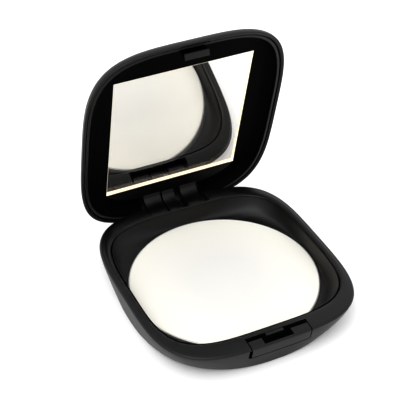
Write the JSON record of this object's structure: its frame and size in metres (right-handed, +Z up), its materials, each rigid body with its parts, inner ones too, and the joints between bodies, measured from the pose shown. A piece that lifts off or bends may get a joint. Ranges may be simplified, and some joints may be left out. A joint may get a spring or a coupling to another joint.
{
  "type": "powder compact",
  "caption": "Rounded-square pressed-powder compact: hinged lid with a rectangular mirror, round pan in a funnel-shaped well, front push button.",
  "frame": {"origin": "on the ground under the middle of the powder, on the base's flat underside", "axes": "+Z up out of the powder; +X along the hinge, to the right of someone who faces the button; +Y from the button to the hinge"},
  "size_m": [0.067, 0.0816, 0.0775],
  "materials": {
    "outer_plastic": "black moulded ABS, satin",
    "inner_plastic": "black moulded ABS, satin",
    "tinplate": "pressed sheet, bright",
    "powder": "pressed face powder, dead matt",
    "glue": "hot-melt glue",
    "steel": "drawn wire",
    "mirror": "silvered glass with ground edges",
    "tape": "double-sided foam tape"
  },
  "bodies": {
    "base": {"base_shell": "outer_plastic", "well_liner": "inner_plastic", "powder_pan": "tinplate", "powder_cake": "powder", "pan_glue_dot": "glue", "button_spring_left": "steel", "button_spring_right": "steel", "hinge_pin": "steel"},
    "lid": {"lid_shell": "outer_plastic", "lid_liner": "inner_plastic", "mirror_glass": "mirror", "mirror_tape": "tape"},
    "button": {"latch_button": "outer_plastic"}
  },
  "joints": [
    {"name": "lid_hinge", "type": "hinge", "parent": "base", "child": "lid", "pos_m": [0, 0.0347, 0.00645], "axis": [-1, 0, 0], "range_deg": [-75.5, 35]},
    {"name": "button_press", "type": "slide", "parent": "base", "child": "button", "axis": [0, 1, 0], "range_m": [0, 0.0006], "stiffness_N_per_m": 600}
  ]
}
